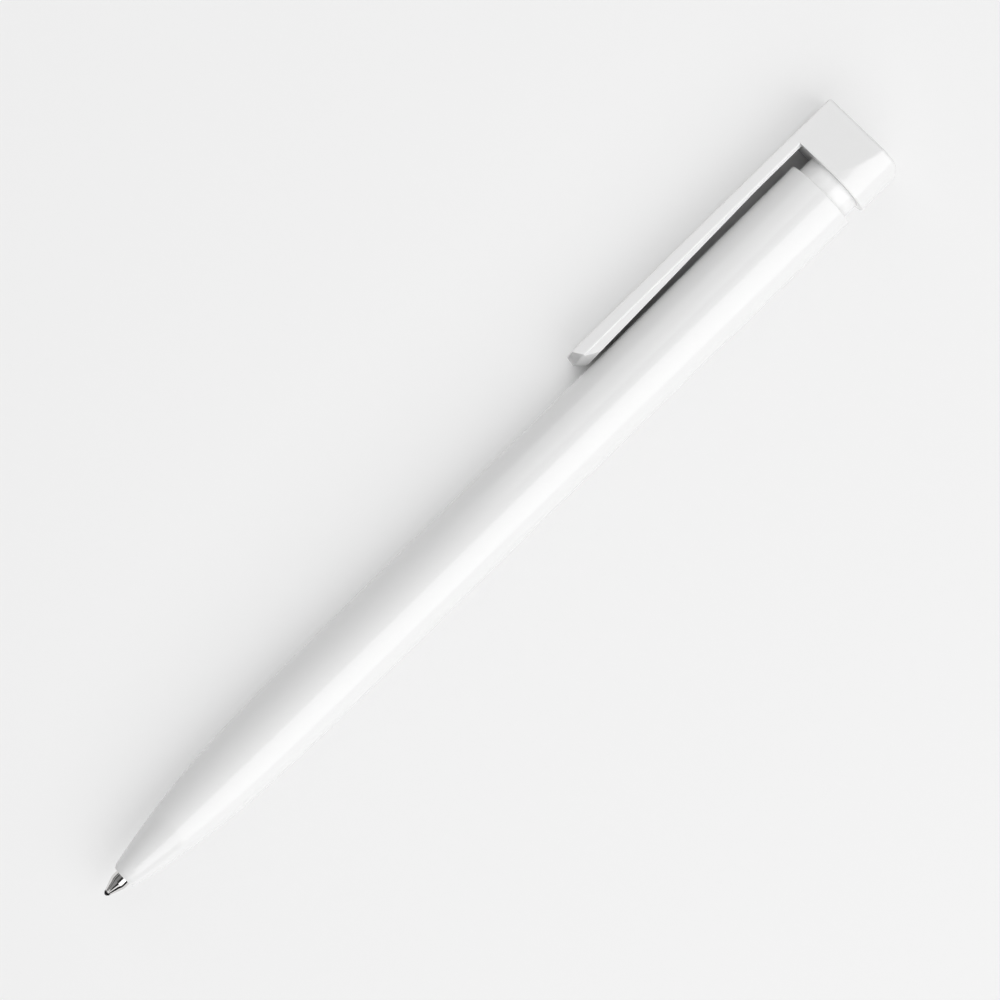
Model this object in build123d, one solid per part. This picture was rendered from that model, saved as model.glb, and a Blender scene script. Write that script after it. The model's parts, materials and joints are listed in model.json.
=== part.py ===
from build123d import *

import os
from math import asin, atan2, cos, degrees, hypot, radians, sin, sqrt, tan

# A push-button ballpoint pen whose cap and clip are the button.
# Sizes are in millimetres and degrees. A station is a distance along the pen, measured
# from the front of the writing ball with the point out, as it is for writing.

# Writing ball and the metal point that holds it
ball_diameter = 0.7
ball_show = 0.25
ball_clearance = 0.01
socket_lip = 0.06
point_diameter = 2.4
point_cone_angle = 20.5
point_length = 9.5
point_stem_diameter = 1.8
point_stem_length = 6.5
ink_channel_diameter = 0.5

# Refill behind the point
refill_diameter = 5.8
refill_wall = 0.45
press_gap = 0.02
nozzle_diameter = 2.9
nozzle_lead_length = 1.5
nozzle_channel_diameter = 1.3
spring_flange_station = 23.5
spring_flange_thickness = 1.5
nozzle_plug_length = 5.0
end_plug_thickness = 3.5
end_plug_depth = 4.5
vent_diameter = 0.6
ink_air_length = 12.0

# Barrel outside
point_reach = 3.5
mouth_diameter = 3.66
nose_length = 23.5
shoulder_length = 15.0
shoulder_angle = 1.9
grip_diameter = 10.16
grip_length = 48.0
barrel_length = 127.85
barrel_rear_diameter = 10.5
barrel_edge_round = 0.12

# Barrel inside
mouth_bore_clearance = 0.08
mouth_bore_length = 1.5
nozzle_clearance = 0.3
spring_seat_station = 12.5
spring_bore_clearance = 0.2
flange_clearance = 0.15
nose_bore_run = 15.0
barrel_rear_wall = 0.92
mid_bore_step = 0.2

# Return spring
spring_wire = 0.4
spring_mean_diameter = 4.3
spring_turns = 9.5
spring_end_gap = 0.05

# Push travel: out from the latched position, and in past it
retract_travel = 5.0
press_travel = 2.0
stop_gap = 0.3
slide_clearance = 0.06

# Guide sleeve, rotor and plunger of the latch
latch_depth = 16.6
groove_count = 4
groove_angle = 50.0
key_angle = 40.0
guide_wall = 0.76
guide_rib_height = 0.75
guide_lip = 1.0
guide_bead_height = 0.12
guide_bead_length = 0.8
cam_clearance = 0.1
cam_rise = 0.8
rotor_seat_gap = 0.05
rotor_body_diameter = 5.2
rotor_rib_length = 3.0
spindle_diameter = 2.6
spindle_length = 6.0
key_length = 2.8
key_setback = 1.2
neck_web = 1.2
neck_wall = 0.9

# Push cap
neck_show = 2.45
cap_height = 7.1
cap_roof = 1.85
cap_edge_round = 0.4
cap_back_round = 2.2
cap_back_turn = 58.0

# Clip
clip_face_width = 6.6
clip_bar_thickness = 1.6
clip_length = 41.3
clip_tip_radius = 4.6
clip_tip_round = 0.6
clip_tip_face = 1.5
clip_ramp_length = 1.3
clip_contact_gap = 0.05
clip_root_gap = 1.05
clip_root_heel = 0.25
heel_inset = 0.22
clip_edge_round = 0.25

# How far a cut runs past the face it leaves through
cut_past = 0.3

# Radii that follow from the sizes above
cap_radius = barrel_rear_diameter / 2
clip_root_reach = cap_radius + clip_root_gap
clip_bar_reach = clip_root_reach + clip_root_heel
clip_reach = clip_bar_reach + clip_bar_thickness
rear_bore_radius = cap_radius - barrel_rear_wall
neck_radius = rear_bore_radius - slide_clearance
guide_radius = rear_bore_radius - press_gap
groove_radius = guide_radius - guide_wall
rib_tip_radius = groove_radius - cam_clearance
guide_rib_radius = groove_radius - guide_rib_height
shank_radius = guide_rib_radius - cam_clearance
mid_bore_radius = groove_radius + mid_bore_step
refill_radius = refill_diameter / 2
tube_bore_radius = refill_radius - refill_wall
tube_fill_radius = tube_bore_radius - press_gap
spring_bore_radius = spring_mean_diameter / 2 + spring_wire / 2 + spring_bore_clearance

# Stations of the outside that follow from the sizes above
mouth_station = point_reach
nose_station = mouth_station + nose_length
shoulder_end_station = nose_station + shoulder_length
grip_station = shoulder_end_station + grip_length
barrel_station = mouth_station + barrel_length
rim_station = barrel_station + neck_show
top_station = rim_station + cap_height
clip_tip_station = rim_station - clip_length

# Stations of the inside. The latch is set into the barrel's rear end, and the refill fills
# the room in front of it.
neck_station = top_station - cap_roof
guide_end_station = barrel_station - latch_depth
shoulder_station = guide_end_station + press_travel + stop_gap
lip_station = guide_end_station - guide_lip
key_top_station = lip_station - retract_travel - stop_gap
key_station = key_top_station - key_length
crown_station = key_station - key_setback
rotor_tooth_station = crown_station - stop_gap
rib_top_station = rotor_tooth_station - cam_rise
guide_station = rib_top_station + stop_gap
rotor_station = rib_top_station - retract_travel - stop_gap
refill_end_station = rotor_station - rotor_seat_gap
plug_station = refill_end_station - end_plug_thickness
tube_station = spring_flange_station + spring_flange_thickness
ink_station = tube_station + nozzle_plug_length
ink_end_station = plug_station - end_plug_depth - ink_air_length

# The flat sides of the cap and clip run from the clip's face edges onto the round of the
# cap. The pen lies on one of them, so this is also the angle the clip hangs below level.
clip_half_face = clip_face_width / 2
side_angle = degrees(asin(cap_radius / hypot(clip_reach, clip_half_face)) - atan2(clip_half_face, clip_reach))


def half_width(reach):
    """Half the width of the cap and clip between their flat sides, at a distance from the axis."""
    return (cap_radius - reach * sin(radians(side_angle))) / cos(radians(side_angle))


def profile(*corners):
    """A flat outline that starts from the pen's axis, from (radius, station) corners."""
    return make_face(Polyline(*[(radius, 0, station) for radius, station in corners], close=True))


def turned(*corners):
    """A body turned about the pen's axis, from (radius, station) corners."""
    return revolve(profile(*corners), Axis.Z)


def rod(radius, start, end):
    return turned((0, start), (radius, start), (radius, end), (0, end))


def tube(outer, inner, start, end):
    return turned((inner, start), (outer, start), (outer, end), (inner, end))


def around(piece, count, first=0.0):
    """Equal copies of a piece about the pen's axis."""
    return [Rot(Z=first + 360 / count * turn) * piece for turn in range(count)]


def sector(outer, inner, start, end, angle):
    """Part of a ring, centred on the clip's side of the axis."""
    ring = profile((inner, start), (outer, start), (outer, end), (inner, end))
    return Rot(Z=-angle / 2) * revolve(ring, Axis.Z, angle)


def ramp(width, low, high, depth):
    """A wedge across the pen, which rises from the low station on one side to the high one."""
    side = Polyline((0, -width / 2, low), (0, width / 2, high), (0, width / 2, low), close=True)
    return extrude(make_face(side), depth, dir=(1, 0, 0))


def side_plate(outline, half):
    """A plate across the clip's width, from a closed outline in the clip's middle plane."""
    return extrude(make_face(outline), half, both=True)


def make_barrel():
    mouth_radius = mouth_diameter / 2
    grip_radius = grip_diameter / 2
    lean = radians(shoulder_angle)
    nose_radius = grip_radius - shoulder_length * tan(lean / 2)
    nose_end = (nose_radius, 0, nose_station)
    shoulder_end = (grip_radius, 0, shoulder_end_station)
    shoulder = TangentArc(nose_end, shoulder_end, tangent=(sin(lean), 0, cos(lean)))
    nose = TangentArc(nose_end, (mouth_radius, 0, mouth_station), tangent=(-sin(lean), 0, -cos(lean)))
    shell = Polyline(
        shoulder_end,
        (grip_radius, 0, grip_station),
        (cap_radius, 0, barrel_station),
        (0, 0, barrel_station),
        (0, 0, mouth_station),
        (mouth_radius, 0, mouth_station),
    )
    body = revolve(make_face([nose, shoulder, shell]), Axis.Z)
    rims = body.edges().filter_by(GeomType.CIRCLE).group_by(Axis.Z)
    body = fillet(rims[0] + rims[-1], barrel_edge_round)

    mouth_bore = point_diameter / 2 + mouth_bore_clearance
    nozzle_bore = nozzle_diameter / 2 + nozzle_clearance
    flange_bore = refill_radius + flange_clearance
    flange_front = spring_flange_station - press_travel - stop_gap
    bore = turned(
        (0, mouth_station - cut_past),
        (mouth_bore, mouth_station - cut_past),
        (mouth_bore, mouth_station + mouth_bore_length),
        (nozzle_bore, spring_seat_station),
        (spring_bore_radius, spring_seat_station),
        (spring_bore_radius, flange_front),
        (flange_bore, flange_front),
        (mid_bore_radius, flange_front + nose_bore_run),
        (mid_bore_radius, guide_station),
        (rear_bore_radius, guide_station),
        (rear_bore_radius, barrel_station + cut_past),
        (0, barrel_station + cut_past),
    )
    groove = turned(
        (mid_bore_radius, guide_station),
        *bead_corners(press_gap),
        (mid_bore_radius, guide_end_station),
    )
    return body - bore - groove


def bead_corners(room):
    """The ring on the guide sleeve that snaps into the barrel, with some room round it."""
    middle = (guide_station + guide_end_station) / 2
    half = guide_bead_length / 2 + room
    return [
        (guide_radius, middle - half),
        (guide_radius + guide_bead_height + room, middle),
        (guide_radius, middle + half),
    ]


def make_guide_sleeve():
    sleeve = turned(
        (guide_rib_radius, guide_station),
        (guide_radius, guide_station),
        *bead_corners(0),
        (guide_radius, guide_end_station),
        (guide_rib_radius, guide_end_station),
    )
    mouth = guide_station - cut_past
    groove = sector(groove_radius, shank_radius, mouth, lip_station, groove_angle)
    for cut in around(groove, groove_count):
        sleeve -= cut
    rib_angle = 360 / groove_count - groove_angle
    rib_width = 2 * groove_radius * sin(radians(rib_angle / 2))
    stop = ramp(rib_width, guide_station, guide_station + cam_rise, guide_radius)
    stop &= rod(groove_radius, mouth, guide_end_station)
    for cut in around(stop, groove_count, 180 / groove_count):
        sleeve -= cut
    return sleeve


def crown(outer, inner, root, tip):
    """A ring of saw teeth on the end of a tube, from their roots to their tips."""
    ring = tube(outer, inner, min(root, tip), max(root, tip))
    teeth = 2 * groove_count
    tooth_width = 2 * outer * tan(radians(180 / teeth))
    notch = Polyline((0, -tooth_width / 2, tip), (0, 0, root), (0, tooth_width / 2, tip), close=True)
    cutter = extrude(make_face(notch), 2 * outer, dir=(1, 0, 0))
    for turn in around(cutter, teeth):
        ring -= turn
    return ring


def make_push_plunger():
    bore = spindle_diameter / 2 + cam_clearance
    crown_root = crown_station + cam_rise
    plunger = tube(shank_radius, bore, crown_root, shoulder_station + neck_web)
    plunger += crown(shank_radius, bore, crown_root, crown_station)
    plunger += tube(neck_radius, bore, shoulder_station, shoulder_station + neck_web)
    plunger += tube(neck_radius, neck_radius - neck_wall, shoulder_station, neck_station)
    key = sector(rib_tip_radius, (bore + shank_radius) / 2, key_station, key_top_station, key_angle)
    for turn in around(key, groove_count):
        plunger += turn
    return plunger


def make_cam_rotor():
    body_radius = rotor_body_diameter / 2
    spindle_radius = spindle_diameter / 2
    rotor = rod(body_radius, rotor_station, rib_top_station)
    rotor += rod(spindle_radius, rotor_station, rib_top_station + spindle_length)
    rotor += crown(body_radius, spindle_radius, rib_top_station, rotor_tooth_station)
    rib_station = rib_top_station - rotor_rib_length
    rib = sector(rib_tip_radius, spindle_radius, rib_station, rib_top_station, key_angle)
    rib_width = 2 * rib_tip_radius * sin(radians(key_angle / 2))
    shaving = ramp(rib_width, rib_top_station, rib_top_station - cam_rise, 2 * rib_tip_radius)
    for turn in around(rib - shaving, groove_count):
        rotor += turn
    return rotor


def make_return_spring():
    front = spring_seat_station + spring_end_gap + spring_wire / 2
    rear = spring_flange_station - spring_end_gap - spring_wire / 2
    pitch = (rear - front) / spring_turns
    radius = spring_mean_diameter / 2
    path = Pos(0, 0, front) * Helix(pitch, rear - front, radius)
    section = Plane(path @ 0, z_dir=path % 0) * Circle(spring_wire / 2)
    return sweep(section, path)


def make_writing_ball():
    return Pos(0, 0, ball_diameter / 2) * Sphere(ball_diameter / 2)


def make_writing_point():
    ball_radius = ball_diameter / 2
    socket_radius = ball_radius + ball_clearance
    lip_bore = sqrt(socket_radius ** 2 - (ball_radius - ball_show) ** 2)
    lip_radius = lip_bore + socket_lip
    point_radius = point_diameter / 2
    cone_end = ball_show + (point_radius - lip_radius) / tan(radians(point_cone_angle))
    stem_radius = point_stem_diameter / 2
    stem_end = point_length + point_stem_length
    point = turned(
        (0, ball_show),
        (lip_radius, ball_show),
        (point_radius, cone_end),
        (point_radius, point_length),
        (stem_radius, point_length),
        (stem_radius, stem_end),
        (0, stem_end),
    )
    point -= Pos(0, 0, ball_radius) * Sphere(socket_radius)
    return point - rod(ink_channel_diameter / 2, ball_radius, stem_end + cut_past)


def make_refill_nozzle():
    stem_bore = point_stem_diameter / 2 + press_gap
    stem_end = point_length + point_stem_length + press_gap
    channel = nozzle_channel_diameter / 2
    plug_end = tube_station + nozzle_plug_length
    return turned(
        (stem_bore, point_length),
        (point_diameter / 2, point_length),
        (nozzle_diameter / 2, point_length + nozzle_lead_length),
        (nozzle_diameter / 2, spring_flange_station),
        (refill_radius, spring_flange_station),
        (refill_radius, tube_station),
        (tube_fill_radius, tube_station),
        (tube_fill_radius, plug_end),
        (channel, plug_end),
        (channel, stem_end),
        (stem_bore, stem_end),
    )


def make_refill_tube():
    return tube(refill_radius, tube_bore_radius, tube_station, plug_station)


def make_ink_column():
    return rod(tube_fill_radius, ink_station, ink_end_station)


def make_refill_end_plug():
    plug = rod(refill_radius, plug_station, refill_end_station)
    plug += rod(tube_fill_radius, plug_station - end_plug_depth, plug_station)
    return plug - rod(vent_diameter / 2, plug_station - end_plug_depth, refill_end_station)


def make_push_cap():
    tangent = radians(side_angle)
    touch = (cap_radius * sin(tangent), cap_radius * cos(tangent))
    flanks = make_face(Polyline(
        (0, touch[1]),
        (touch[0], touch[1]),
        (clip_reach, clip_half_face),
        (clip_reach, -clip_half_face),
        (touch[0], -touch[1]),
        (0, -touch[1]),
        close=True,
    ))
    flanks = fillet(flanks.vertices().group_by(Axis.X)[-1], clip_edge_round)
    outline = Circle(cap_radius) + flanks
    cap = extrude(Pos(0, 0, rim_station) * outline, cap_height)
    cap = fillet(cap.faces().sort_by(Axis.Z)[-1].edges(), cap_edge_round)

    # The roof rolls down towards the side away from the clip.
    turn = radians(cap_back_turn)
    middle = (cap_back_round * sin(turn) - cap_radius, top_station - cap_back_round)
    past = radians(90 + (90 + cap_back_turn) / 2)
    half_past = (radians(90) + past) / 2
    crest = (middle[0], 0, top_station)
    foot = (middle[0] + cap_back_round * cos(past), 0, middle[1] + cap_back_round * sin(past))
    via = (middle[0] + cap_back_round * cos(half_past), 0, middle[1] + cap_back_round * sin(half_past))
    roll = ThreePointArc(crest, via, foot)
    frame = Polyline(
        foot,
        (foot[0], 0, rim_station),
        (clip_reach + cut_past, 0, rim_station),
        (clip_reach + cut_past, 0, top_station),
        crest,
    )
    cap = cap & side_plate(roll + frame, 2 * cap_radius)
    return cap - rod(neck_radius + press_gap, rim_station, neck_station + press_gap)


def make_clip():
    tip_radius_station = clip_tip_station + clip_ramp_length
    grip_radius = grip_diameter / 2
    taper = (cap_radius - grip_radius) / (barrel_station - grip_station)
    barrel_under_tip = grip_radius + taper * max(0, tip_radius_station - grip_station)
    contact_reach = barrel_under_tip + clip_contact_gap

    # Across the clip: a bar with leaning flanks, and a narrower heel under it.
    bar = make_face(Polyline(
        (clip_bar_reach, half_width(clip_bar_reach)),
        (clip_reach, clip_half_face),
        (clip_reach, -clip_half_face),
        (clip_bar_reach, -half_width(clip_bar_reach)),
        close=True,
    ))
    bar = fillet(bar.vertices(), clip_edge_round)
    heel_half = half_width(clip_bar_reach) - heel_inset - clip_edge_round
    heel_top = clip_bar_reach + clip_bar_thickness / 2
    heel = Pos((contact_reach + heel_top) / 2, 0) * Rectangle(heel_top - contact_reach, 2 * heel_half)
    clip = extrude(Pos(0, 0, clip_tip_station) * (bar + heel), clip_length)

    # From the side: an even face outside, and a heel that nears the barrel towards the tip.
    round_reach = clip_reach - clip_tip_round
    face_reach = clip_reach - clip_tip_face
    lean = clip_tip_round * (1 - sqrt(0.5))
    nose = ThreePointArc(
        (clip_reach, 0, clip_tip_station + clip_tip_round),
        (clip_reach - lean, 0, clip_tip_station + lean),
        (round_reach, 0, clip_tip_station),
    )
    side = Polyline(
        (round_reach, 0, clip_tip_station),
        (face_reach, 0, clip_tip_station),
        (contact_reach, 0, tip_radius_station),
        (clip_root_reach, 0, rim_station),
        (clip_reach, 0, rim_station),
        (clip_reach, 0, clip_tip_station + clip_tip_round),
    )
    clip = clip & side_plate(nose + side, 2 * cap_radius)

    # From outside: a round tip.
    centre = clip_tip_station + clip_tip_radius
    tip = Pos(0, 0, centre) * Rot(Y=90) * Cylinder(clip_tip_radius, 4 * clip_reach)
    shaft_length = rim_station - centre
    shaft = Pos(0, 0, centre + shaft_length / 2) * Box(4 * clip_reach, 2 * clip_tip_radius, shaft_length)
    return clip & (tip + shaft)


def make_pieces():
    return {
        "barrel": make_barrel(),
        "guide_sleeve": make_guide_sleeve(),
        "push_plunger": make_push_plunger(),
        "push_cap": make_push_cap(),
        "clip": make_clip(),
        "cam_rotor": make_cam_rotor(),
        "return_spring": make_return_spring(),
        "refill_tube": make_refill_tube(),
        "refill_end_plug": make_refill_end_plug(),
        "ink_column": make_ink_column(),
        "refill_nozzle": make_refill_nozzle(),
        "writing_point": make_writing_point(),
        "writing_ball": make_writing_ball(),
    }


def lay_down(pieces):
    """Lays the pen along +X on its barrel and one flat side of the clip, over the origin."""
    lean = radians(side_angle)
    lying = Plane(origin=(0, 0, 0), x_dir=(0, cos(lean), -sin(lean)), z_dir=(1, 0, 0))
    laid = {name: Location(lying) * piece for name, piece in pieces.items()}
    boxes = [piece.bounding_box() for piece in laid.values()]
    low = [min(tuple(box.min)[axis] for box in boxes) for axis in range(3)]
    high = [max(tuple(box.max)[axis] for box in boxes) for axis in range(3)]
    place = Pos(-(low[0] + high[0]) / 2, -(low[1] + high[1]) / 2, -low[2])
    print("ball front in the row frame:", place.position)
    return {name: place * piece for name, piece in laid.items()}


os.makedirs("parts", exist_ok=True)
for name, piece in lay_down(make_pieces()).items():
    export_step(piece, f"parts/{name}.step")
print("side angle:", side_angle)
print("refill length:", refill_end_station)
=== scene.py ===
# %% [markdown]
# # A push-button pen, dressed for its picture
#
# The pen was first drawn as solids: a barrel, a cap with a clip, the latch and the refill inside.
# That model fixes every size and every joint, so it is loaded here as a frame that stays where it
# is. This lesson dresses the frame: it lays finer skins over the pieces that show, gives each piece
# a finish made of nodes, and lights the pen like a small product on a pale table. Blender counts in
# metres, so a named millimetre keeps the sizes readable.

# %% Load the frame
import json
from math import acos, cos, degrees, pi, radians, sin, sqrt, tan

import bmesh
import bpy
from mathutils import Matrix, Vector


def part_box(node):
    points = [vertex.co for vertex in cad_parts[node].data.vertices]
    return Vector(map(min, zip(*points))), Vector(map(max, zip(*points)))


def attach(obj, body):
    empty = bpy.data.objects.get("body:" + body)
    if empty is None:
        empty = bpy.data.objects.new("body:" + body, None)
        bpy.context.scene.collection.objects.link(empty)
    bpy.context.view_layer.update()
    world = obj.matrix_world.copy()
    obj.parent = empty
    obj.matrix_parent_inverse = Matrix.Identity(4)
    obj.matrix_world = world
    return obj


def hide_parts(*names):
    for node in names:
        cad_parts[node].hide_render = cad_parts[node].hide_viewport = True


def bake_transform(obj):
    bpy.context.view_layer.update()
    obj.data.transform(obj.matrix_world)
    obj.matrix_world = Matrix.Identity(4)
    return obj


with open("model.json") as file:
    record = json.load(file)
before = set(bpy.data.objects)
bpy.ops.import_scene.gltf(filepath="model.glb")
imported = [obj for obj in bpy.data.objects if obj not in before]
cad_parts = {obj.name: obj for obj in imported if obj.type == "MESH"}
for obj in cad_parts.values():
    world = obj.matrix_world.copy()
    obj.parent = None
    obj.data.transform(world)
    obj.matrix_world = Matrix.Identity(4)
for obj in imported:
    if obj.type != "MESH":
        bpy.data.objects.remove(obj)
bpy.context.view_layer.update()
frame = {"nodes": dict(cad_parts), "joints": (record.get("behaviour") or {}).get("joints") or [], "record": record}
mm = 0.001
print("pieces in the frame:", ", ".join(sorted(frame["nodes"])))

# %% [markdown]
# ## The pen's own directions
#
# The pen lies on its barrel and on one flat side of its clip, so the clip points a little below
# level. It is easier to think along the pen: a station counts from the ball towards the cap, a reach
# runs from the axis towards the clip, and a side runs across both. The frame already knows these
# directions: the barrel's box gives the axis, and the line about which the clip bends is square to
# the clip's middle plane. Reading them there, rather than writing angles again, keeps the skins on
# the solids if the solids ever change.

# %% Directions and stations
joints = {joint["name"]: joint for joint in frame["joints"]}
barrel_low, barrel_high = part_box("barrel")
cap_low, cap_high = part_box("push_cap")
barrel_middle = (barrel_low + barrel_high) / 2
axis_start = Vector((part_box("writing_ball")[0].x, barrel_middle.y, barrel_middle.z))
along = Vector((1, 0, 0))
across = -Vector(joints["clip_flex"]["axis"]).normalized()
outward = across.cross(along)


def pen_point(station, reach, side):
    """A place in the scene from its place on the pen."""
    return axis_start + along * station + outward * reach + across * side


mouth_station = barrel_low.x - axis_start.x
barrel_station = barrel_high.x - axis_start.x
rim_station = cap_low.x - axis_start.x
top_station = cap_high.x - axis_start.x
clip_tip_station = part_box("clip")[0].x - axis_start.x
barrel_radius = (barrel_high.z - barrel_low.z) / 2
side_angle = across.angle(Vector((0, 0, 1)))
stations = (mouth_station, barrel_station, rim_station, top_station)
print("mouth, barrel end, rim, top in mm:", [round(station / mm, 2) for station in stations])
print("the clip points", round(degrees(side_angle), 2), "degrees below level")

# %% [markdown]
# ## Nodes without the clutter
#
# Every finish below is a small tree of nodes that ends in one Principled shader. The same few moves
# come back each time: start a material, set the numbers that are the same all over straight on the
# shader, and let textures drive only what really varies. Short helpers do that, so that each finish
# reads as a recipe.

# %% Helpers for nodes
def start_finish(name, **constants):
    """A new material, with numbers and colours that hold for the whole surface set on its shader."""
    material = bpy.data.materials.new(name)
    material.use_nodes = True
    shader = material.node_tree.nodes["Principled BSDF"]
    for socket, value in constants.items():
        shader.inputs[socket.replace("_", " ")].default_value = value
    return material, shader


def feed(tree, socket, value):
    """Links another node's output to a socket, or sets a plain value on it."""
    if isinstance(value, bpy.types.NodeSocket):
        tree.links.new(value, socket)
    else:
        socket.default_value = value


def add_node(material, kind, settings=None, **inputs):
    """A node with its settings, whose inputs are plain values or outputs of other nodes."""
    node = material.node_tree.nodes.new(kind)
    for name, value in (settings or {}).items():
        setattr(node, name, value)
    for name, value in inputs.items():
        feed(material.node_tree, node.inputs[name.replace("_", " ")], value)
    return node


print("helpers for nodes ready")

# %% [markdown]
# The recipes need four things: clouds of a given size, a number that follows them, a colour that
# follows them, and a relief. The clouds sit in the piece's own space and may be drawn out along the
# pen, which is how streaks are made. A noise mostly stays between 0.3 and 0.7, so that band is spread
# over the whole span that a recipe asks for.

# %% Helpers for finishes
noise_low, noise_high = 0.3, 0.7


def place_texture(material, stretch=(1, 1, 1)):
    """Coordinates in the piece's own space, squeezed where a pattern runs long."""
    place = add_node(material, "ShaderNodeTexCoord").outputs["Object"]
    return add_node(material, "ShaderNodeMapping", Vector=place, Scale=stretch).outputs["Vector"]


def noise(material, size, stretch=(1, 1, 1)):
    """Clouds of about that size in metres, from 0 to 1."""
    place = place_texture(material, stretch)
    return add_node(
        material, "ShaderNodeTexNoise", Vector=place, Scale=1 / size, Detail=2.0
    ).outputs["Fac"]


def ramp(material, value, start, end, low=0.0, high=1.0):
    """A number that goes from low to high while another goes from start to end."""
    return add_node(
        material, "ShaderNodeMapRange", Value=value, From_Min=start, From_Max=end, To_Min=low, To_Max=high
    ).outputs["Result"]


def blend_colours(material, share, first, second):
    """A colour between two others, of which the second may come from another node."""
    if not isinstance(second, bpy.types.NodeSocket):
        second = (*second, 1)
    node = add_node(material, "ShaderNodeMix", {"data_type": "RGBA"})
    share_socket, first_socket, second_socket = node.inputs[0], node.inputs[6], node.inputs[7]
    feed(material.node_tree, share_socket, share)
    feed(material.node_tree, first_socket, (*first, 1))
    feed(material.node_tree, second_socket, second)
    return node.outputs[2]


def tint(material, shader, texture, first, second):
    """Lets the base colour wander between two colours."""
    colour = blend_colours(material, texture, first, second)
    feed(material.node_tree, shader.inputs["Base Color"], colour)


def polish(material, shader, texture, low, high):
    """Lets the roughness wander between two values."""
    roughness = ramp(material, texture, noise_low, noise_high, low, high)
    feed(material.node_tree, shader.inputs["Roughness"], roughness)


def emboss(material, shader, texture, depth):
    """Raises the surface by a texture, to a depth in metres."""
    relief = add_node(material, "ShaderNodeBump", Height=texture, Distance=depth, Strength=1.0)
    feed(material.node_tree, shader.inputs["Normal"], relief.outputs["Normal"])


print("helpers for finishes ready")

# %% [markdown]
# ## Glossy white plastic
#
# Barrel, cap, clip and neck are moulded in a filled white plastic in a polished tool. Up close such a
# skin is not even: the melt leaves long faint streaks in the direction of flow, the gloss wanders a
# little, and the surface has a fine orange peel. An even white would look like paper, so three noises
# drive colour, roughness and bump, all very faint.

# %% White gloss
white_gloss, shader = start_finish("white gloss", IOR=1.5)
streaks = noise(white_gloss, 6 * mm, stretch=(0.08, 1, 1))
tint(white_gloss, shader, streaks, (0.83, 0.83, 0.83), (0.875, 0.875, 0.873))
polish(white_gloss, shader, noise(white_gloss, 3 * mm), 0.07, 0.13)
emboss(white_gloss, shader, noise(white_gloss, 0.7 * mm), 0.004 * mm)
print("made", white_gloss.name)

# %% [markdown]
# ## Turned metal
#
# The point is turned from nickel silver on a small lathe, which leaves rings too fine to see one by
# one but which spread the reflections along the point. A wave texture along the pen gives the rings.
# The lip round the ball is wet with ink, so the metal turns dark over its first half millimetre.

# %% Point metal
ring_pitch = 0.9 * mm
inked_to = 0.45 * mm
clean_from = 0.6 * mm

point_metal, shader = start_finish("turned nickel silver", Metallic=1.0)
rings = add_node(
    point_metal,
    "ShaderNodeTexWave",
    {"bands_direction": "X"},
    Vector=place_texture(point_metal),
    Scale=1 / ring_pitch,
    Distortion=1.5,
    Detail=2.0,
).outputs["Fac"]
turned = blend_colours(point_metal, rings, (0.70, 0.69, 0.68), (0.78, 0.77, 0.76))
place = add_node(point_metal, "ShaderNodeSeparateXYZ", Vector=place_texture(point_metal))
clean = ramp(point_metal, place.outputs["X"], axis_start.x + inked_to, axis_start.x + clean_from)
tint(point_metal, shader, clean, (0.01, 0.01, 0.012), turned)
polish(point_metal, shader, noise(point_metal, 0.5 * mm), 0.05, 0.09)
emboss(point_metal, shader, rings, 0.001 * mm)
print("made", point_metal.name)

# %% [markdown]
# ## The ball
#
# The ball is sintered carbide, dark and grainy, and wet with ink. One fine grain drives both its
# colour and its gloss, as ink sits duller between the grains.

# %% Carbide
ball_carbide, shader = start_finish("inked carbide", Specular_IOR_Level=0.3)
grain = noise(ball_carbide, 0.08 * mm)
tint(ball_carbide, shader, grain, (0.008, 0.008, 0.01), (0.03, 0.03, 0.033))
polish(ball_carbide, shader, grain, 0.25, 0.4)
print("made", ball_carbide.name)

# %% [markdown]
# ## Finishes inside the pen
#
# The latch is acetal, milky and a little waxy. The refill is a thin clear tube gone hazy over its
# ink, with a duller nozzle and plug. The spring is drawn wire, so its scratches run along the coil.
# Nothing of these shows with the point out, but the part is also seen opened and apart, so each still
# gets the grain of its material.

# %% Latch, refill, spring and ink
latch_plastic, shader = start_finish(
    "milky acetal", IOR=1.48, Subsurface_Weight=0.1, Subsurface_Scale=0.5 * mm
)
clouds = noise(latch_plastic, 2 * mm)
tint(latch_plastic, shader, clouds, (0.70, 0.71, 0.70), (0.78, 0.79, 0.78))
polish(latch_plastic, shader, clouds, 0.3, 0.42)
emboss(latch_plastic, shader, noise(latch_plastic, 0.4 * mm), 0.004 * mm)

refill_plastic, shader = start_finish("hazy refill plastic", IOR=1.5)
haze = noise(refill_plastic, 4 * mm, stretch=(0.1, 1, 1))
tint(refill_plastic, shader, haze, (0.60, 0.62, 0.64), (0.72, 0.73, 0.74))
polish(refill_plastic, shader, haze, 0.18, 0.3)
emboss(refill_plastic, shader, noise(refill_plastic, 0.6 * mm), 0.004 * mm)

spring_steel, shader = start_finish("drawn spring steel", Metallic=1.0)
scratches = noise(spring_steel, 0.15 * mm, stretch=(6, 1, 1))
tint(spring_steel, shader, scratches, (0.50, 0.50, 0.51), (0.62, 0.62, 0.63))
polish(spring_steel, shader, scratches, 0.22, 0.36)

ink, shader = start_finish("thick dark ink", IOR=1.45)
settled = noise(ink, 5 * mm, stretch=(0.2, 1, 1))
tint(ink, shader, settled, (0.004, 0.005, 0.012), (0.012, 0.014, 0.03))
polish(ink, shader, settled, 0.08, 0.16)

finishes = {
    "white_gloss": white_gloss,
    "latch_plastic": latch_plastic,
    "refill_plastic": refill_plastic,
    "spring_steel": spring_steel,
    "point_metal": point_metal,
    "ball_carbide": ball_carbide,
    "ink": ink,
}
print("finishes:", ", ".join(finishes))

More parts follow.
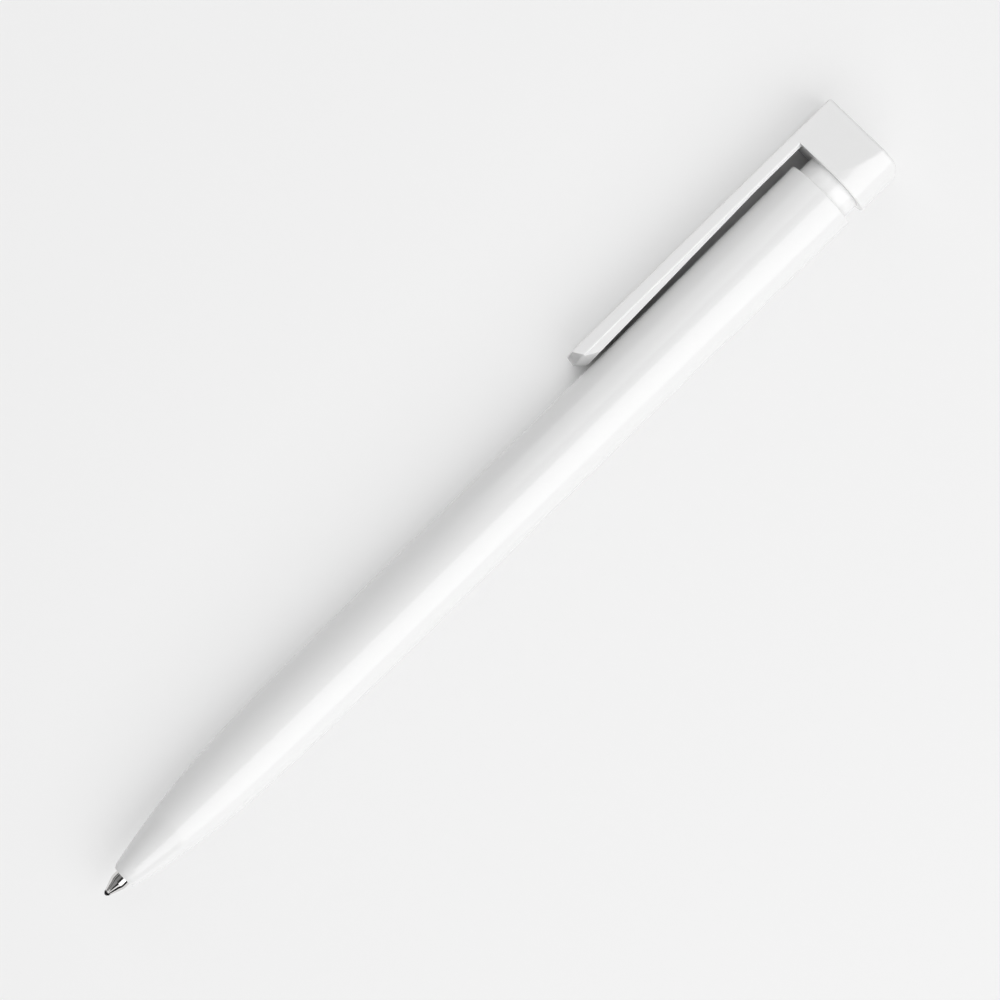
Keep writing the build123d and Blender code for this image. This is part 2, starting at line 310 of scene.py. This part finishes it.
# %% [markdown]
# ## From points to a piece
#
# All the skins are built point by point, because the pen is made of exact arcs and straight tapers
# that primitives do not have. One helper turns a list of points and faces into an object: it welds
# points that fell together, turns all faces outward, and shades the piece smooth except across real
# edges. It also hides the frame's solid that the skin replaces, and gives the skin its finish. Where
# a skin rides on a body, that body is named right after the piece.

# %% Helper for pieces
crease = radians(35)
weld_distance = 0.0005 * mm


def make_piece(name, points, faces, finish, node):
    """An object with its finish, in place of one of the frame's solids."""
    mesh = bpy.data.meshes.new(name)
    mesh.from_pydata(points, [], faces)
    shell = bmesh.new()
    shell.from_mesh(mesh)
    bmesh.ops.remove_doubles(shell, verts=shell.verts, dist=weld_distance)
    bmesh.ops.recalc_face_normals(shell, faces=shell.faces)
    shell.to_mesh(mesh)
    shell.free()
    mesh.shade_smooth()
    mesh.set_sharp_from_angle(angle=crease)
    mesh.materials.append(finishes[finish])
    piece = bpy.data.objects.new(name, mesh)
    bpy.context.scene.collection.objects.link(piece)
    piece.modifiers.new("even shading", "WEIGHTED_NORMAL").keep_sharp = True
    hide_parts(node)
    print(name, "has", len(mesh.polygons), "faces")
    return piece


# %% [markdown]
# ## Turning on a lathe
#
# Barrel, point and ball are round, so each is one outline of radius and station spun about the pen's
# axis. The nose is a single arc that leaves the body almost straight and ends at the mouth. An arc is
# fixed by where it starts, the way it heads and where it ends: the chord to a point part of the way
# along has turned from that heading by the same part of the angle.

# %% Helpers for round pieces
on_axis = 0.0001 * mm


def bend(start, heading, end, steps):
    """Points of the arc that leaves start along a heading and reaches end, without its first point."""
    start, heading, end = Vector(start), Vector(heading).normalized(), Vector(end)
    chord = end - start
    turn = heading.angle_signed(chord)
    across_circle = chord.length / sin(turn)
    points = []
    for step in range(1, steps + 1):
        part = turn * step / steps
        ahead = Matrix.Rotation(-part, 2) @ heading
        points.append(tuple(start + ahead * across_circle * sin(part)))
    return points


def turn_outline(outline, sides):
    """Points and faces of a closed outline of (radius, station) spun about the pen's axis."""
    points, rings, faces = [], [], []
    for radius, station in outline:
        first = len(points)
        if radius < on_axis:
            points.append(pen_point(station, 0, 0))
            rings.append([first] * sides)
        else:
            for turn in (2 * pi * side / sides for side in range(sides)):
                points.append(pen_point(station, radius * cos(turn), radius * sin(turn)))
            rings.append(list(range(first, first + sides)))
    for ring, following in zip(rings, rings[1:] + rings[:1]):
        for side in range(sides):
            corners = dict.fromkeys((ring[side - 1], ring[side], following[side], following[side - 1]))
            if len(corners) > 2:
                faces.append(list(corners))
    return points, faces


print("lathe ready")

# %% [markdown]
# ## Barrel
#
# The barrel is one moulding: a rounded nose, a shoulder that swells very slightly, a straight grip
# and a slow taper up to the rear. The rims at both ends are softened by a tenth of a millimetre, which
# catches a thin line of light. The inside follows the solid's bores, so the shell has a real wall at
# the mouth and at the rear, where one can look in.

# %% Barrel sizes
mouth_radius = 1.83 * mm
grip_radius = 5.08 * mm
nose_lean = radians(1.9)
nose_station = mouth_station + 23.5 * mm
shoulder_station = nose_station + 15 * mm
grip_station = shoulder_station + 48 * mm
nose_radius = grip_radius - (shoulder_station - nose_station) * tan(nose_lean / 2)
edge_round = 0.12 * mm

sleeve_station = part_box("guide_sleeve")[0].x - axis_start.x
rear_bore = barrel_radius - 0.92 * mm
refill_bore, refill_bore_station = 3.75 * mm, 36.2 * mm
seat_bore, seat_station = 3.05 * mm, 21.2 * mm
spring_bore, spring_step_station = 2.55 * mm, 12.5 * mm
nozzle_bore = 1.75 * mm
mouth_bore, mouth_bore_length = 1.28 * mm, 1.5 * mm
print("nose meets the shoulder at a radius in mm of", round(nose_radius / mm, 3))

# %% Barrel skin
nose_heading = Vector((-sin(nose_lean), -cos(nose_lean)))
nose_start = (nose_radius, nose_station)
rear_edge = (barrel_radius, barrel_station - edge_round)
nose = bend(nose_start, nose_heading, (mouth_radius, mouth_station), 60)
barrel_outline = [
    (mouth_bore, mouth_station + edge_round / 2),
    (mouth_bore + edge_round / 2, mouth_station),
    (mouth_radius - edge_round, mouth_station),
    *reversed(nose[:-1]),
    nose_start,
    *bend(nose_start, -nose_heading, (grip_radius, shoulder_station), 16),
    (grip_radius, grip_station),
    rear_edge,
    *bend(rear_edge, (0, 1), (barrel_radius - edge_round, barrel_station), 4),
    (rear_bore, barrel_station),
    (rear_bore, sleeve_station),
    (refill_bore, sleeve_station),
    (refill_bore, refill_bore_station),
    (seat_bore, seat_station),
    (spring_bore, seat_station),
    (spring_bore, spring_step_station),
    (nozzle_bore, spring_step_station),
    (mouth_bore, mouth_station + mouth_bore_length),
]
barrel_shell = make_piece("barrel_shell", *turn_outline(barrel_outline, 192), "white_gloss", "barrel")
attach(barrel_shell, "barrel")

# %% [markdown]
# ## Point
#
# The point is a short cylinder that runs into a cone, with a tiny lip rolled over the ball to hold
# it. The corner between the two is broken by a small round, as a form tool leaves it. Behind the lip
# the socket is a part of a sphere a hair larger than the ball, so that ink can pass.

# %% Point skin
ball_low, ball_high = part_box("writing_ball")
point_low, point_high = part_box("writing_point")
ball_radius = (ball_high.x - ball_low.x) / 2
ball_show = point_low.x - axis_start.x
point_end = point_high.x - axis_start.x
point_radius = 1.2 * mm
stem_station = 9.5 * mm
stem_radius = 0.9 * mm
channel_radius = 0.25 * mm
cone_angle = radians(20.5)
corner = 0.35 * mm
socket_radius = ball_radius + 0.01 * mm
lip_bore = sqrt(socket_radius ** 2 - (ball_radius - ball_show) ** 2)
lip_radius = lip_bore + 0.06 * mm
lip_crest = (lip_bore + 0.03 * mm, ball_show - 0.02 * mm)
cone_end = ball_show + (point_radius - lip_radius) / tan(cone_angle)
corner_start = (point_radius - corner * sin(cone_angle), cone_end - corner * cos(cone_angle))
socket_depth = ball_radius + sqrt(socket_radius ** 2 - channel_radius ** 2)

point_outline = [
    *bend((channel_radius, socket_depth), (1, -channel_radius / socket_depth), (lip_bore, ball_show), 12),
    lip_crest,
    (lip_radius, ball_show + 0.03 * mm),
    corner_start,
    *bend(corner_start, (sin(cone_angle), cos(cone_angle)), (point_radius, cone_end + corner), 6),
    (point_radius, stem_station),
    (stem_radius, stem_station),
    (stem_radius, point_end),
    (channel_radius, point_end),
    (channel_radius, socket_depth),
]
point_skin = make_piece("point_skin", *turn_outline(point_outline, 96), "point_metal", "writing_point")
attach(point_skin, "refill")

# %% [markdown]
# ## Ball
#
# The ball shows only a quarter of a millimetre, but it rolls, so it is a whole sphere: half a circle
# spun on the same lathe. A ready-made sphere would do too, but here its poles lie on the pen's axis.

# %% Ball skin
ball_steps = 32
ball_outline = [
    (ball_radius * sin(pi * step / ball_steps), ball_radius * (1 - cos(pi * step / ball_steps)))
    for step in range(ball_steps + 1)
]
ball_skin = make_piece("ball_skin", *turn_outline(ball_outline, 64), "ball_carbide", "writing_ball")
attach(ball_skin, "writing_ball")

# %% [markdown]
# ## Outline of the cap
#
# Seen from its end, the cap is a circle with two flat sides that lean together and carry on into the
# clip. The flat sides also lean in towards the top, which leaves a wedge of the round showing beside
# them. One function draws this outline at any depth under the surface, with its corner rounds
# shrinking, which keeps the edges even where a scaled copy would fan out.

# %% Cap outline
cap_node = frame["nodes"]["push_cap"]
cap_points = [cap_node.matrix_world @ vertex.co for vertex in cap_node.data.vertices]
clip_reach = max((point - axis_start).dot(outward) for point in cap_points)
corner_round = 0.25 * mm
least_round = 0.02 * mm
side_lean = radians(6.3)
side_blend = 0.9 * mm
square = pi / 2 - side_angle


def flat_side(reach, inset=0.0):
    """How far the flat sides stand from the middle at a reach."""
    return (barrel_radius - inset - reach * sin(side_angle)) / cos(side_angle)


def arc(centre, radius, start, end, steps):
    """Points of an arc about a centre, between two angles from the reach."""
    turns = (start + (end - start) * step / steps for step in range(steps + 1))
    return [(centre[0] + radius * cos(turn), centre[1] + radius * sin(turn)) for turn in turns]


def cap_outline(inset, cut=0.0):
    """(reach, side) points round the cap, drawn in by an inset, with its flat sides cut deeper."""
    back_radius = barrel_radius - inset
    round_left = max(corner_round - inset, least_round)
    corner_reach = clip_reach - inset - round_left
    corner_centre = (corner_reach, flat_side(corner_reach, cut + inset + round_left))
    half = [(clip_reach - inset, corner_centre[1] * step / 6) for step in range(6)]
    half += arc(corner_centre, round_left, 0, square, 8)
    away = back_radius - side_blend
    shoulder_turn = acos((away - cut) / away)
    back_turn = square + shoulder_turn
    shoulder = arc((away * cos(back_turn), away * sin(back_turn)), side_blend, square, back_turn, 12)
    flat_start, flat_end = Vector(half[-1]), Vector(shoulder[0])
    half += [tuple(flat_start.lerp(flat_end, step / 12)) for step in range(1, 12)]
    half += shoulder
    half += arc((0, 0), back_radius, back_turn, pi, 40)[1:]
    return half + [(reach, -side) for reach, side in reversed(half[1:-1])]


print("reach of the clip's face in mm:", round(clip_reach / mm, 3))
print("points round the cap:", len(cap_outline(0)))

# %% [markdown]
# ## Stacks of rings
#
# A shape that changes along its length can be built as a stack of rings with the same number of
# points, each joined to the next by four-sided faces. Cap, clip and spring are all made so.

# %% Helpers for stacks
def stitch(rings):
    """Points of a stack of rings, and the faces between each ring and the next."""
    count = len(rings[0])
    points = [point for ring in rings for point in ring]
    faces = []
    for level in range(len(rings) - 1):
        for k in range(count):
            low, low_before = level * count + k, level * count + (k - 1) % count
            faces.append([low_before, low, low + count, low_before + count])
    return points, faces


def skin_rings(rings):
    """Points and faces of a stack of rings, closed at both ends."""
    points, faces = stitch(rings)
    count = len(rings[0])
    return points, [list(range(count)), list(range(len(points) - count, len(points)))] + faces


print("stacks ready")

# %% [markdown]
# ## Cap
#
# The cap's rings start at the bottom of the hole that takes the neck, come down to the rim, climb the
# side, roll over the top edge and close over the roof, which itself rolls down towards the back. The
# rim is softened everywhere but where the clip goes on, so that the two meet flush.

# %% Cap roof and rim
roof_round = 0.4 * mm
roll_radius = 2.2 * mm
roll_crest = roll_radius * sin(radians(58)) - barrel_radius
rim_round = 0.12 * mm
rim_fade = 0.3 * mm
least_rim = 0.02
neck_bore = 4.29 * mm
neck_top = top_station - 1.83 * mm
clip_foot = 6.3 * mm
full_cut = (top_station - roof_round - rim_station) * tan(side_lean)


def roof(reach):
    """Station of the roof, which rolls down at the back."""
    past = min(max(roll_crest - reach, 0.0), 0.99 * roll_radius)
    return top_station - roll_radius + sqrt(roll_radius ** 2 - past ** 2)


def rim_share(reach):
    """How much of the rim's round is left at a reach."""
    return min(max((clip_foot - reach) / rim_fade, least_rim), 1.0)


def ring_of(outline, station):
    """A ring over an outline, at stations that follow the reach."""
    return [pen_point(station(reach), reach, side) for reach, side in outline]


print("the flat sides are cut deeper at the top by, in mm:", round(full_cut / mm, 3))

# %% Cap skin
outer = cap_outline(0)
hole_middle = 0.02
hole = [Vector(point).normalized() * neck_bore for point in outer]
cap_rings = [
    [pen_point(neck_top, hole_middle * reach, hole_middle * side) for reach, side in outer],
    [pen_point(neck_top, reach, side) for reach, side in hole],
    [pen_point(rim_station, reach, side) for reach, side in hole],
]
for turn in (pi / 2 * step / 4 for step in range(5)):
    ring = []
    for point, inner in zip(outer, cap_outline(rim_round)):
        share = rim_share(point[0])
        place = Vector(point).lerp(Vector(inner), (1 - sin(turn)) * share)
        ring.append(pen_point(rim_station + rim_round * (1 - cos(turn)) * share, place.x, place.y))
    cap_rings.append(ring)
for share in (0.1, 0.25, 0.4, 0.55, 0.7, 0.85):
    outline = cap_outline(0, full_cut * share)
    cap_rings.append(
        ring_of(outline, lambda reach: rim_station + (roof(reach) - roof_round - rim_station) * share)
    )
for turn in (pi / 2 * step / 8 for step in range(9)):
    outline = cap_outline(roof_round * (1 - cos(turn)), full_cut)
    cap_rings.append(ring_of(outline, lambda reach: roof(reach) - roof_round * (1 - sin(turn))))
roof_outline = cap_outline(roof_round, full_cut)
roof_middle = Vector((1.2 * mm, 0))
for share in (0.02, 0.08, 0.16, 0.28, 0.4, 0.55, 0.7, 0.85, 0.96):
    shrunk = [tuple(Vector(point).lerp(roof_middle, share)) for point in roof_outline]
    cap_rings.append(ring_of(shrunk, roof))
cap_shell = make_piece("cap_shell", *skin_rings(cap_rings), "white_gloss", "push_cap")
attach(cap_shell, "push_button")

# %% [markdown]
# ## Rows of the clip
#
# The clip is a straight bar whose flat flanks are those of the cap. Under it runs a narrower heel,
# which is shallow at the root and nears the barrel towards the tip, where it holds the cloth of a
# pocket. The tip is rounded like a boat's bow: blunt on the outside, finer beside the barrel. The mesh
# is thought of as rows from the heel to the outer face, each with its own half width. Rows make the
# bow easy: each row ends where the bow says.

# %% Clip rows and bow
heel_line = 6.55 * mm
heel_half = 3.25 * mm
heel_round = 0.12 * mm
heel_end = rim_station - 8.3 * mm
root_fillet = 0.3 * mm
tip_contact = 5.4 * mm
tip_round = 0.6 * mm
tip_face = clip_reach - 1.5 * mm
ramp_length = 1.3 * mm
bow_nose = 1.2 * mm
bow_depth_by_barrel = 2.4 * mm
bow_depth_outside = 0.75 * mm
heel_start = clip_tip_station + ramp_length


def heel_reach(station):
    """The heel's underside: it falls towards the tip, and turns into the cap's rim by a small fillet."""
    part = (station - heel_start) / (heel_end - heel_start)
    reach = tip_contact + (clip_foot - tip_contact) * min(max(part, 0.0), 1.0)
    into = max(root_fillet - (rim_station - station), 0.0)
    return reach - (root_fillet - sqrt(root_fillet ** 2 - into ** 2))


def flank_corner(centre, start, end):
    """Rows round a corner of the flat flank, between two angles from the side."""
    middle = flat_side(centre, corner_round)
    turns = [start + (end - start) * step / 6 for step in range(7)]
    return [(centre + corner_round * sin(turn), middle + corner_round * cos(turn)) for turn in turns]


def clip_rows(station):
    """(reach, half width) pairs across the clip, from the heel's underside to the outer face."""
    low = heel_reach(station)
    turns = [pi / 2 * step / 4 for step in range(5)]
    rows = [(low + heel_round * (1 - cos(turn)), heel_half - heel_round * (1 - sin(turn))) for turn in turns]
    rows.append((heel_line, heel_half))
    rows += flank_corner(heel_line + corner_round, -pi / 2, side_angle)
    rows += flank_corner(clip_reach - corner_round, side_angle, pi / 2)
    return rows


def bow(reach, side):
    """Station of the tip's rounded end."""
    past = max(reach - (clip_reach - tip_round), 0.0)
    station = clip_tip_station + tip_round - sqrt(max(tip_round ** 2 - past ** 2, 0.0))
    station += ramp_length * max(tip_face - reach, 0.0) / (tip_face - tip_contact)
    share = max((reach - tip_contact) / (clip_reach - tip_contact), 0.0)
    depth = bow_depth_by_barrel + (bow_depth_outside - bow_depth_by_barrel) * share
    full = sqrt(heel_half ** 2 + bow_nose ** 2) - bow_nose
    return station + depth * (sqrt(side ** 2 + bow_nose ** 2) - bow_nose) / full


print("rows across the clip:", len(clip_rows(rim_station)))

# %% [markdown]
# ## Clip
#
# The rows are now drawn out from the bow to the root, with short steps where the shape turns. The
# edges of these grids form the rings of a stack, and the first and last grid close its ends. The clip
# bends at its root while the cap stays stiff.

# %% Clip skin
across_steps = 14
clip_length = rim_station - clip_tip_station
shares = [0, 0.004, 0.01, 0.02, 0.035, 0.06] + [0.1 + 0.05 * k for k in range(17)] + [0.93, 0.96, 0.98]
shares += [1 - (1 - k / 6) * root_fillet / clip_length for k in range(7)]


def clip_grid(share):
    """Rows of points across the whole clip at a share of its length, from the bow to the root."""
    grid = []
    for row, (reach, half) in enumerate(clip_rows(heel_start)):
        line = []
        for step in range(across_steps + 1):
            side = half * (2 * step / across_steps - 1)
            start = bow(reach, side)
            station = start + (rim_station - start) * share
            reach_here, half_here = clip_rows(station)[row]
            line.append(pen_point(station, reach_here, side / half * half_here))
        grid.append(line)
    return grid


def edge_loop(grid):
    """Points round the outside of a grid."""
    right, left = [row[-1] for row in grid[1:-1]], [row[0] for row in grid[1:-1]]
    return grid[0] + right + grid[-1][::-1] + left[::-1]


def close_end(points, faces, grid):
    """Adds the faces of a grid."""
    first, wide = len(points), across_steps + 1
    points += [point for row in grid for point in row]
    for row in range(len(grid) - 1):
        for low in range(first + row * wide, first + row * wide + across_steps):
            faces.append([low, low + 1, low + wide + 1, low + wide])


clip_points, clip_faces = stitch([edge_loop(clip_grid(share)) for share in shares])
close_end(clip_points, clip_faces, clip_grid(0))
close_end(clip_points, clip_faces, clip_grid(1))
clip_bar = make_piece("clip_bar", clip_points, clip_faces, "white_gloss", "clip")
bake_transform(clip_bar)

# %% [markdown]
# ## Return spring
#
# The spring sits in the nose, between a step in the barrel and the refill's shoulder, and pushes the
# refill back. Here the wire is wound again as a mesh. The last turn at each end lies close to the
# next, as on a real spring, which gives it a flat end to stand on.

# %% Spring coil
spring_low, spring_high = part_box("return_spring")
wire_radius = 0.2 * mm
wire_sides = 10
spring_turns = 9.5
steps_per_turn = 28
close_pitch = 0.36
end_turns = 0.75
opening_turns = 0.5
coil_radius = (spring_high.z - spring_low.z) / 2 - wire_radius
spring_start = spring_low.x - axis_start.x + wire_radius
spring_length = spring_high.x - spring_low.x - 2 * wire_radius


def pitch_share(turn):
    """Climb per turn as a share of the open pitch: small for the end turns."""
    opened = (min(turn, spring_turns - turn) - end_turns) / opening_turns
    return close_pitch + (1 - close_pitch) * min(max(opened, 0.0), 1.0)


climbs = [0.0]
for step in range(int(spring_turns * steps_per_turn)):
    climbs.append(climbs[-1] + pitch_share((step + 0.5) / steps_per_turn))
wire_rings = []
for step, climb in enumerate(climbs):
    turn = 2 * pi * step / steps_per_turn
    station = spring_start + spring_length * climb / climbs[-1]
    ring = []
    for angle in (2 * pi * side / wire_sides for side in range(wire_sides)):
        radius = coil_radius + wire_radius * cos(angle)
        ring.append(pen_point(station + wire_radius * sin(angle), radius * cos(turn), radius * sin(turn)))
    wire_rings.append(ring)
spring_coil = make_piece("spring_coil", *skin_rings(wire_rings), "spring_steel", "return_spring")
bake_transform(spring_coil)

# %% [markdown]
# ## The pieces that keep their own solids
#
# Neck, sleeve, rotor and refill have exact solids already, and a skin would only repeat them. They
# keep their own meshes and take the finish that the record names for each.

# %% Finishes on the carried pieces
for subpart in frame["record"]["subparts"]:
    mesh = frame["nodes"][subpart["node"]].data
    mesh.materials.clear()
    mesh.materials.append(finishes[subpart["material_slot"]])
    print(subpart["node"], "is", finishes[subpart["material_slot"]].name)

# %% [markdown]
# ## Pale for the eye
#
# A pale background could be had with more light, but that would burn out the white pen. So the light
# stays plain, and table and backdrop mix an even pale colour into what the camera and reflections
# see. All other rays meet the true surface, and so the light that comes back to the pen is true.

# %% Pale colour for camera and reflections
pale = 0.905


def lift_for_eye(tree, lit, surface, share):
    """Mixes a share of a pale surface into what the camera and reflections see."""
    seen = tree.nodes.new("ShaderNodeLightPath")
    factor = seen.outputs["Is Camera Ray"]
    steps = (("MAXIMUM", seen.outputs["Is Glossy Ray"]), ("MAXIMUM", seen.outputs["Is Transmission Ray"]))
    for operation, value in (*steps, ("MULTIPLY", share)):
        node = tree.nodes.new("ShaderNodeMath")
        node.operation = operation
        feed(tree, node.inputs[0], factor)
        feed(tree, node.inputs[1], value)
        factor = node.outputs[0]
    mix = tree.nodes.new("ShaderNodeMixShader")
    for socket, value in zip(mix.inputs, (factor, lit, surface)):
        feed(tree, socket, value)
    return mix.outputs[0]


print("pale colour", pale)

# %% [markdown]
# ## Table
#
# The table is a plain sheet of pale paper. Its soft shadow is lightened for the eye by about half, but
# not in the slit between clip and barrel, which has to stay dark. An ambient occlusion node tells how
# open the sheet lies at each place, so the slit is found wherever the clip moves to.

# %% Table
table_size = 3.0
shadow_lift = 0.55
open_distance = 15 * mm
shut_in, lies_open = 0.15, 0.42

table_mesh = bpy.data.meshes.new("table")
table_corners = [(x * table_size / 2, y * table_size / 2, 0) for x, y in ((-1, -1), (1, -1), (1, 1), (-1, 1))]
table_mesh.from_pydata(table_corners, [], [(0, 1, 2, 3)])
table = bpy.data.objects.new("table", table_mesh)
bpy.context.scene.collection.objects.link(table)
table_paper, shader = start_finish("table paper", Roughness=0.9, Specular_IOR_Level=0.1)
tint(table_paper, shader, noise(table_paper, 2 * mm), (0.84, 0.84, 0.84), (0.85, 0.85, 0.85))
glow = add_node(table_paper, "ShaderNodeEmission", Color=(pale, pale, pale, 1), Strength=1.0)
openness = add_node(table_paper, "ShaderNodeAmbientOcclusion", {"samples": 8}, Distance=open_distance)
share = ramp(table_paper, openness.outputs["AO"], shut_in, lies_open, 0.0, shadow_lift)
lifted = lift_for_eye(table_paper.node_tree, shader.outputs[0], glow.outputs[0], share)
feed(table_paper.node_tree, table_paper.node_tree.nodes["Material Output"].inputs["Surface"], lifted)
table_mesh.materials.append(table_paper)
print("table is", table_size, "m wide")

# %% [markdown]
# ## Panels
#
# The key panel stands on the side away from the clip and leaves a bright band along the barrel with
# one clean edge. A low panel carries that band round towards the table, a weak panel beyond the cap
# lifts what faces up, and a fill panel lights the clip's side. The end of the clip looks away from the
# cap and should be grey, while the nose, which looks the same way, should be bright. So the clip is
# left out of key and fill, by light linking, and has a pair of its own from beyond the cap. That pair
# is kept out of reflections, or the clip's flat flank would flash white from some sides. Angles count
# about the pen, from straight above towards the side away from the clip.

# %% Helpers for panels
light_distance = 0.7


def toward(angle):
    """Direction at an angle in degrees about the pen."""
    return across * cos(radians(angle)) - outward * sin(radians(angle))


def add_panel(name, first, last, start, end, radiance, receivers):
    """A soft panel that spans two angles about the pen and two places along it."""
    lamp = bpy.data.lights.new(name, "AREA")
    lamp.shape = "RECTANGLE"
    lamp.size = end - start
    lamp.size_y = 2 * light_distance * tan(radians(last - first) / 2)
    lamp.energy = radiance * pi * lamp.size * lamp.size_y
    panel = bpy.data.objects.new(name, lamp)
    direction = toward((first + last) / 2)
    facing = Matrix((along, direction.cross(along), direction)).transposed().to_4x4()
    panel.matrix_world = Matrix.Translation(direction * light_distance + along * (start + end) / 2) @ facing
    panel.light_linking.receiver_collection = receivers
    bpy.context.scene.collection.objects.link(panel)
    print(name, "gives", round(lamp.energy, 2), "W")
    return panel


# %% Panels
clip_only = bpy.data.collections.new("clip alone")
all_but_clip = bpy.data.collections.new("all but the clip")
for collection in (clip_only, all_but_clip):
    collection.objects.link(clip_bar)
all_but_clip.collection_objects[0].light_linking.link_state = "EXCLUDE"

for name, angles, places, radiance, receivers in (
    ("low panel", (60, 82), (-0.6, 0.5), 1.7, None),
    ("end panel", (-16, 16), (0.25, 0.75), 0.6, None),
    ("key panel", (16, 60), (-0.6, 0.5), 1.89, all_but_clip),
    ("fill panel", (-67, -10), (0.0, 0.5), 1.2, all_but_clip),
    ("clip key panel", (16, 60), (0.25, 0.85), 5.6, clip_only),
    ("clip fill panel", (-67, -10), (0.25, 0.75), 2.25, clip_only),
):
    panel = add_panel(name, *angles, *places, radiance, receivers)
    panel.visible_glossy = receivers is not clip_only

# %% [markdown]
# ## Cards round the point
#
# Polished metal shows only what stands round it, and in an even white room it would look like
# plastic. A photographer sets strips of black and white card round something shiny. The same is done
# here with cards that only reflections see, which give the small point its dark and bright lines. The
# cone looks further ahead than the cylinder behind it, so each has its own set.

# %% Cards
card_distance = 25 * mm
cylinder_cards = (-8 * mm, 4 * mm)
cone_cards = (-34 * mm, -8 * mm)


def add_card(name, first, last, start, end, grey):
    """A strip of card near the point, between two angles about it and two stations."""
    direction = toward((first + last) / 2)
    sideways = direction.cross(along) * card_distance * tan(radians(last - first) / 2)
    corners = [
        axis_start + direction * card_distance + along * station + sideways * edge
        for station, edge in ((start, -1), (end, -1), (end, 1), (start, 1))
    ]
    mesh = bpy.data.meshes.new(name)
    mesh.from_pydata(corners, [], [(0, 1, 2, 3)])
    paint, _ = start_finish(
        name,
        Base_Color=(0, 0, 0, 1),
        Roughness=1.0,
        Specular_IOR_Level=0.0,
        Emission_Color=(grey, grey, grey, 1),
        Emission_Strength=1.0,
    )
    mesh.materials.append(paint)
    card = bpy.data.objects.new(name, mesh)
    bpy.context.scene.collection.objects.link(card)
    for ray in ("camera", "diffuse", "shadow", "transmission", "volume_scatter"):
        setattr(card, "visible_" + ray, False)


cards = (
    ("card above", (-10, 18), cylinder_cards, 0.03),
    ("white card", (21, 61), cylinder_cards, 2.0),
    ("card by the table", (63, 94), cylinder_cards, 0.01),
    ("grey card", (-48, -10), cylinder_cards, 0.26),
    ("thin card", (-60, -48), cylinder_cards, 0.02),
    ("pale card", (-76, -60), cylinder_cards, 0.4),
    ("far thin card", (-92, -76), cylinder_cards, 0.04),
    ("cone card above", (4, 32), cone_cards, 0.02),
    ("cone white card", (34, 54), cone_cards, 1.1),
    ("cone card by the table", (56, 94), cone_cards, 0.005),
    ("cone grey card", (-46, 4), cone_cards, 0.3),
    ("cone thin card", (-58, -46), cone_cards, 0.03),
    ("cone pale card", (-74, -58), cone_cards, 0.45),
    ("cone far thin card", (-92, -74), cone_cards, 0.04),
)
for name, angles, places, grey in cards:
    add_card(name, *angles, *places, grey)
print("cards set:", len(cards))

# %% [markdown]
# ## Room light
#
# A low even light from the world keeps the shaded side of the barrel from going dark. The camera sees
# the pale backdrop in its place.

# %% World
room_light = 0.25
world = bpy.data.worlds.new("studio")
bpy.context.scene.world = world
world.use_nodes = True
tree = world.node_tree
ambient = tree.nodes["Background"]
ambient.inputs["Color"].default_value = (1, 1, 1, 1)
ambient.inputs["Strength"].default_value = room_light
backdrop = tree.nodes.new("ShaderNodeBackground")
backdrop.inputs["Color"].default_value = (pale, pale, pale, 1)
backdrop.inputs["Strength"].default_value = 1.0
seen = lift_for_eye(tree, ambient.outputs[0], backdrop.outputs[0], 1.0)
feed(tree, tree.nodes["World Output"].inputs["Surface"], seen)
print("room light", room_light)

# %% [markdown]
# ## Camera
#
# The picture looks straight down on the clip's middle plane, with the pen across it from corner to
# corner. The scale of the picture and the distance of the lens set the focal length, so the frame can
# be given in millimetres on the pen, which is easier to measure than an angle of view.

# %% Camera
picture_pixels = 1000
millimetres_per_pixel = 0.13125
lens_distance = 0.525
roll_angle = radians(44.37)
centre_station = 73.3 * mm
centre_reach = 0.8 * mm

camera = bpy.data.cameras.new("camera")
camera.sensor_width = 36
camera.lens = camera.sensor_width * lens_distance / (picture_pixels * millimetres_per_pixel * mm)
camera_object = bpy.data.objects.new("camera", camera)
right = along * cos(roll_angle) - outward * sin(roll_angle)
up = along * sin(roll_angle) + outward * cos(roll_angle)
facing = Matrix((right, up, across)).transposed().to_4x4()
target = pen_point(centre_station, centre_reach, 0)
camera_object.matrix_world = Matrix.Translation(target + across * lens_distance) @ facing
bpy.context.scene.collection.objects.link(camera_object)
bpy.context.scene.camera = camera_object
bpy.context.scene.view_settings.view_transform = "Standard"
print("lens in mm:", round(camera.lens, 1))
